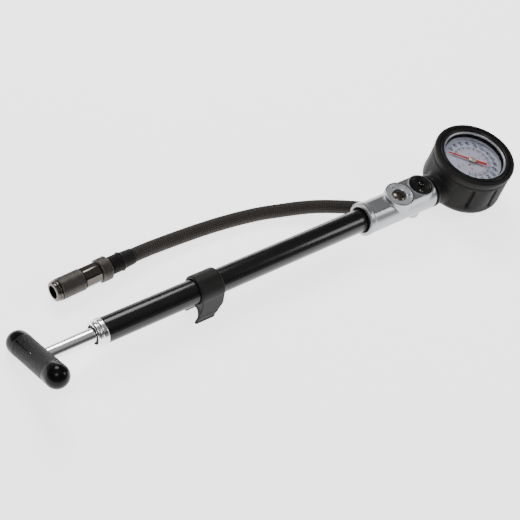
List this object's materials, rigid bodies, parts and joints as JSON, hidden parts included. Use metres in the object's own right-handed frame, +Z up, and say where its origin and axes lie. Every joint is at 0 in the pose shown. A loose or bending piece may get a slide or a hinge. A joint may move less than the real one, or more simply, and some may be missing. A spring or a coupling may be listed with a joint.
{
  "type": "shock suspension pump",
  "caption": "Hand pump with a slim barrel, T-handle, dial gauge, bleed valve, sliding hose clip and a short hose ending in a screw-on valve chuck, for filling air suspension.",
  "frame": {"origin": "on the surface that the pump lies on, under the middle of the pump without its hose", "axes": "+X along the barrel from the T-handle to the gauge, +Z up out of the dial, +Y to the side that the hose lies on"},
  "size_m": [0.3808, 0.0824, 0.0407],
  "materials": {
    "black_anodised": "satin black anodised",
    "chrome": "polished chrome plate",
    "satin_silver": "satin silver, die-cast",
    "brass": "turned brass",
    "steel": "plain steel",
    "gunmetal": "polished gunmetal plate",
    "grip_plastic": "finely stippled matt black",
    "black_plastic": "matt black",
    "black_rubber": "matt black rubber",
    "braided_hose": "rubber hose in a woven black cover",
    "dial_face": "matt pale dial with a printed scale",
    "clear_lens": "clear",
    "pointer_red": "satin red"
  },
  "bodies": {
    "pump_body": {"barrel": "black_anodised", "barrel_o_ring": "black_rubber", "gland_cap": "chrome", "rod_wiper": "black_rubber", "rod_bush": "brass", "head_body": "satin_silver", "bleed_ring": "satin_silver", "bleed_guide": "brass", "bleed_spring": "steel", "check_seat": "brass", "port_insert": "black_plastic", "port_screw": "steel", "gauge_washer": "black_rubber", "gauge_stem": "brass", "gauge_boot": "black_rubber", "gauge_case": "steel", "gauge_bezel": "black_plastic", "lens_ring": "satin_silver", "gauge_lens": "clear_lens", "dial_spacer": "satin_silver", "dial_plate": "dial_face", "dial_pin": "brass", "movement_frame": "brass", "bourdon_tube": "brass", "hose_adapter": "steel", "hose_ferrule": "gunmetal", "hose": "braided_hose", "chuck_boot": "black_rubber", "chuck_body": "gunmetal"},
    "piston": {"piston": "brass", "piston_seal": "black_rubber"},
    "plunger": {"rod": "chrome", "piston_circlip": "steel", "handle_grip": "grip_plastic", "handle_insert": "steel"},
    "clip": {"hose_clip": "black_plastic"},
    "button": {"bleed_button": "gunmetal", "bleed_stem": "brass", "bleed_seal": "black_rubber"},
    "check_ball": {"check_ball": "steel", "check_spring": "steel"},
    "pointer": {"pointer": "pointer_red", "pointer_hub": "brass", "pinion": "brass"},
    "sector": {"sector_gear": "brass"},
    "thimble": {"chuck_thimble": "gunmetal", "chuck_tip": "gunmetal", "chuck_gasket": "black_rubber"},
    "knob": {"chuck_knob": "gunmetal"},
    "valve_pin": {"chuck_pin": "brass"}
  },
  "joints": [
    {"name": "pump_stroke", "type": "slide", "parent": "pump_body", "child": "piston", "axis": [-1, 0, 0], "range_m": [-0.028, 0.15]},
    {"name": "handle_spin", "type": "hinge", "parent": "piston", "child": "plunger", "pos_m": [-0.12, 0, 0.018], "axis": [1, 0, 0], "continuous": true},
    {"name": "clip_slide", "type": "slide", "parent": "pump_body", "child": "clip", "axis": [1, 0, 0], "range_m": [-0.055, 0.1]},
    {"name": "bleed_press", "type": "slide", "parent": "pump_body", "child": "button", "axis": [0, 0, -1], "range_m": [0, 0.0015], "stiffness_N_per_m": 800, "springref_m": -0.002, "deforming": ["bleed_spring"]},
    {"name": "check_lift", "type": "slide", "parent": "pump_body", "child": "check_ball", "axis": [1, 0, 0], "range_m": [0, 0.0008], "stiffness_N_per_m": 200, "springref_m": -0.001},
    {"name": "pointer_turn", "type": "hinge", "parent": "pump_body", "child": "pointer", "pos_m": [0.16114, 0, 0.033], "axis": [0, 0, -1], "range_deg": [0, 270], "stiffness_Nm_per_rad": 0.00001},
    {"name": "sector_turn", "type": "hinge", "parent": "pump_body", "child": "sector", "pos_m": [0.16114, 0.0092, 0.022], "axis": [0, 0, -1], "range_deg": [-54, 0]},
    {"name": "thimble_turn", "type": "hinge", "parent": "pump_body", "child": "thimble", "pos_m": [-0.13409, 0.04403, 0.00785], "axis": [-0.9985, -0.055, 0], "continuous": true},
    {"name": "knob_turn", "type": "hinge", "parent": "pump_body", "child": "knob", "pos_m": [-0.11113, 0.04529, 0.00785], "axis": [-0.9985, -0.055, 0], "range_deg": [0, 720]},
    {"name": "pin_feed", "type": "slide", "parent": "pump_body", "child": "valve_pin", "axis": [-0.9985, -0.055, 0], "range_m": [0, 0.00242]}
  ],
  "couplings": [
    {"joint": "sector_turn", "follows": "pointer_turn", "ratio": -0.2},
    {"joint": "pin_feed", "follows": "knob_turn", "m_per_rad": 0.000191}
  ]
}
